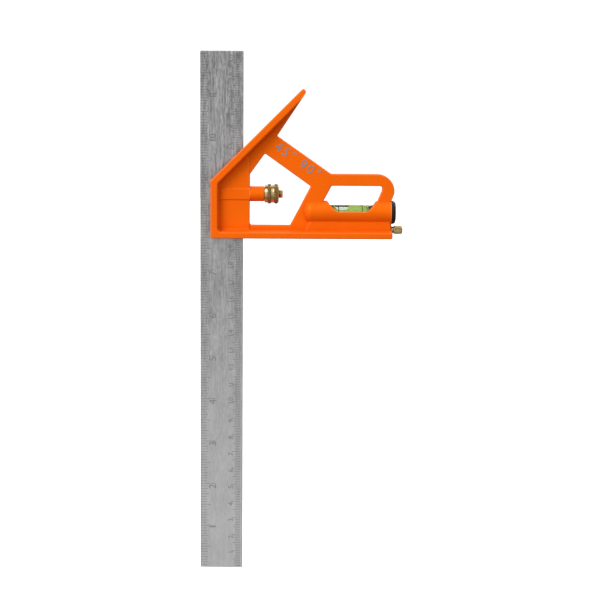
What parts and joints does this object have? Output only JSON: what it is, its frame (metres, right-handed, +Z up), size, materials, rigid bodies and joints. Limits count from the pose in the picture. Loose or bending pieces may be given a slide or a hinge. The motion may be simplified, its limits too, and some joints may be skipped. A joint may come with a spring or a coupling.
{
  "type": "combination square",
  "caption": "Combination square: graduated steel blade sliding in a cast head with 90 and 45 degree fences, a knurled clamp nut, a level vial and a pull-out scriber.",
  "frame": {"origin": "where the blade's inch edge crosses the plane of the 90 degree face, half-way through the blade's thickness", "axes": "+X from the blade towards the handle, +Z up the blade, the front of the tool faces -Y"},
  "size_m": [0.1179, 0.019, 0.3048],
  "materials": {
    "powder_coat": "orange powder coat on a zinc die casting",
    "blade_steel": "satin stainless steel, etched graduations",
    "brass": "turned and knurled brass",
    "spring_steel": "plain spring wire",
    "clear_vial": "clear, polished",
    "vial_liquid": "yellow-green liquid",
    "air_bubble": "air",
    "black_print": "printed black ring",
    "black_plastic": "black moulded plug",
    "needle_steel": "ground tool steel"
  },
  "bodies": {
    "head": {"head_casting": "powder_coat", "clamp_spring": "spring_steel", "vial_tube": "clear_vial", "vial_stopper": "clear_vial", "vial_liquid": "vial_liquid", "vial_index_rings": "black_print", "vial_plug": "black_plastic"},
    "blade": {"blade": "blade_steel"},
    "clamp_bolt": {"clamp_bolt": "brass"},
    "clamp_nut": {"clamp_nut": "brass"},
    "bubble": {"vial_bubble": "air_bubble"},
    "scriber": {"scriber_needle": "needle_steel", "scriber_knob": "brass"}
  },
  "joints": [
    {"name": "blade_slide", "type": "slide", "parent": "head", "child": "blade", "axis": [0, 0, 1], "range_m": [-0.07, 0.195]},
    {"name": "nut_turn", "type": "hinge", "parent": "head", "child": "clamp_nut", "pos_m": [0.0412, 0, 0.0256], "axis": [1, 0, 0], "range_deg": [0, 545]},
    {"name": "bolt_slide", "type": "slide", "parent": "head", "child": "clamp_bolt", "axis": [1, 0, 0], "range_m": [-0.0012, 0], "deforming": ["clamp_spring"]},
    {"name": "bubble_slide", "type": "slide", "parent": "head", "child": "bubble", "axis": [1, 0, 0], "range_m": [-0.004, 0.012], "deforming": ["vial_liquid"]},
    {"name": "scriber_slide", "type": "slide", "parent": "head", "child": "scriber", "axis": [1, 0, 0], "range_m": [0, 0.036]}
  ],
  "couplings": [
    {"joint": "nut_turn", "follows": "bolt_slide", "rad_per_m": -7854}
  ]
}
